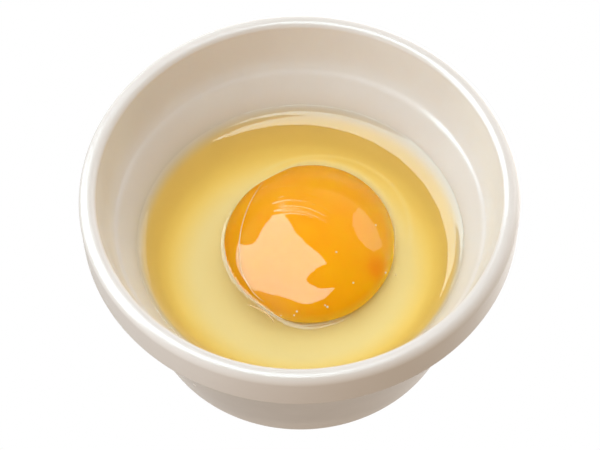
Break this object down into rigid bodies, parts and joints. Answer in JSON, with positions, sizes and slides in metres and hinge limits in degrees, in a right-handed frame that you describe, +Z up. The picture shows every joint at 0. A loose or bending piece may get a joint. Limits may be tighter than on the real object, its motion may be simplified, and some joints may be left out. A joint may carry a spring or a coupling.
{
  "type": "raw egg in a bowl",
  "caption": "Raw egg cracked into a small glazed white bowl with a thick collar, its yolk standing out of the clear egg white.",
  "frame": {"origin": "middle of the bowl's base, in the plane that it stands on", "axes": "+Z up through the mouth; -Y towards the picture's viewer, +X to the viewer's right"},
  "size_m": [0.096, 0.096, 0.046],
  "materials": {
    "glaze": "glossy white glazed stoneware",
    "albumen": "clear wet raw egg white, faintly yellow",
    "yolk": "wet orange raw yolk"
  },
  "bodies": {
    "root": {"bowl": "glaze", "egg_white": "albumen", "yolk": "yolk"}
  },
  "joints": []
}
